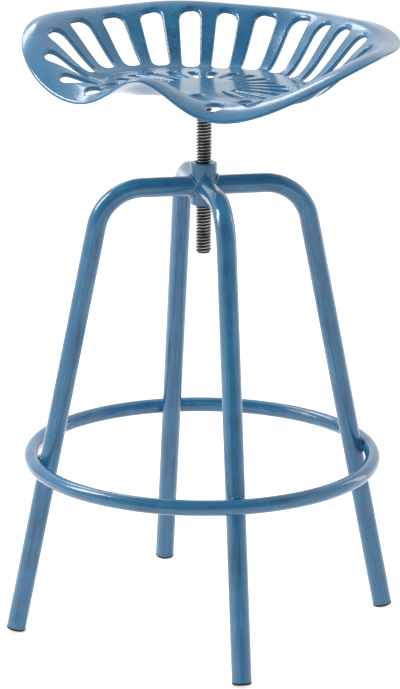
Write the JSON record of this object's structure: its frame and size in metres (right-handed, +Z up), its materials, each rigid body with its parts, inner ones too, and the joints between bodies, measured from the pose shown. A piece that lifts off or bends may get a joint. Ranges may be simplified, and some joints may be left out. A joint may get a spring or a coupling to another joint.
{
  "type": "stool",
  "caption": "Screw-height stool with a blue cast bucket seat, pierced with long slots, on bent tube legs joined by a round foot ring.",
  "frame": {"origin": "floor level on the screw axis, midway between the four feet", "axes": "+Z up along the screw, the seat faces -Y, +X is the seat's side on the picture's right"},
  "size_m": [0.506, 0.462, 0.7798],
  "materials": {
    "seat_paint": "glossy",
    "frame_paint": "glossy",
    "screw_steel": "satin",
    "bolt_steel": "satin",
    "foot_plastic": "matte",
    "bump_rubber": "matte"
  },
  "bodies": {
    "base": {"hub": "frame_paint", "leg_front_left": "frame_paint", "leg_front_right": "frame_paint", "leg_rear_left": "frame_paint", "leg_rear_right": "frame_paint", "foot_ring": "frame_paint", "hub_welds": "frame_paint", "ring_weld_front_left": "frame_paint", "ring_weld_front_right": "frame_paint", "ring_weld_rear_left": "frame_paint", "ring_weld_rear_right": "frame_paint", "foot_plug_front_left": "foot_plastic", "foot_plug_front_right": "foot_plastic", "foot_plug_rear_left": "foot_plastic", "foot_plug_rear_right": "foot_plastic"},
    "bump": {"bump_washer": "bump_rubber"},
    "seat": {"seat_pan": "seat_paint", "spindle": "screw_steel", "mounting_plate": "screw_steel", "spindle_weld": "screw_steel", "seat_bolts": "bolt_steel", "bolt_washers": "bolt_steel"}
  },
  "joints": [
    {"name": "seat_lift", "type": "slide", "parent": "base", "child": "bump", "axis": [0, 0, 1], "range_m": [-0.075, 0.06]},
    {"name": "seat_turn", "type": "hinge", "parent": "bump", "child": "seat", "pos_m": [0, 0, 0.6933], "axis": [0, 0, 1], "range_deg": [-6750, 5400]}
  ],
  "couplings": [
    {"joint": "seat_lift", "follows": "seat_turn", "m_per_rad": 0.00063662}
  ]
}
